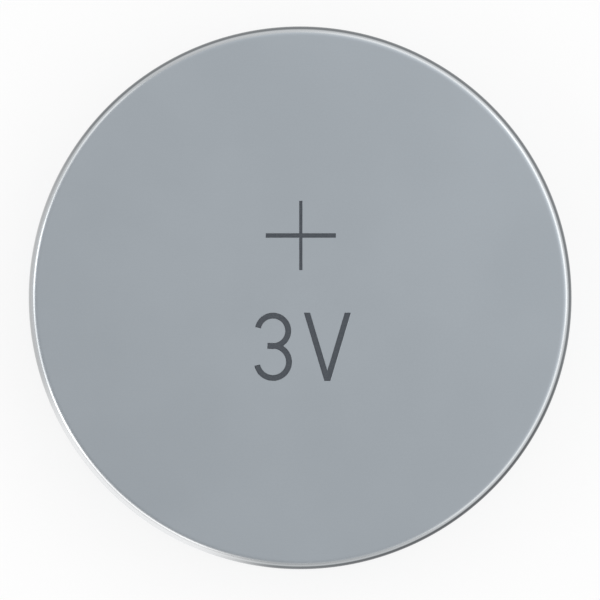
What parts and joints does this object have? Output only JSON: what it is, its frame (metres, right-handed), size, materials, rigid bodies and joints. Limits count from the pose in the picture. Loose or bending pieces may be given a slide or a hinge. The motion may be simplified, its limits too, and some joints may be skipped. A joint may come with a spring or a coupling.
{
  "type": "lithium coin cell",
  "caption": "Flat round lithium coin cell: a steel can whose rim is rolled in over a plastic gasket and a stepped negative cap, with its anode, separator and cathode inside.",
  "frame": {"origin": "centre of the cap's contact face, on the cell's axis, where the cell lies on a surface", "axes": "+Z along the cell's axis, towards the positive contact face of the can"},
  "size_m": [0.02, 0.02, 0.0032],
  "materials": {
    "can_steel": "fine matt nickel plating",
    "cap_steel": "satin",
    "gasket_plastic": "milky, as moulded",
    "lithium_metal": "soft metal, as pressed",
    "separator_felt": "fine felt",
    "cathode_powder": "pressed powder, matt",
    "ring_steel": "as rolled"
  },
  "bodies": {
    "root": {"can": "can_steel", "gasket": "gasket_plastic", "cap": "cap_steel", "lithium_disc": "lithium_metal", "separator": "separator_felt", "cathode_pellet": "cathode_powder", "cathode_ring": "ring_steel"}
  },
  "joints": []
}
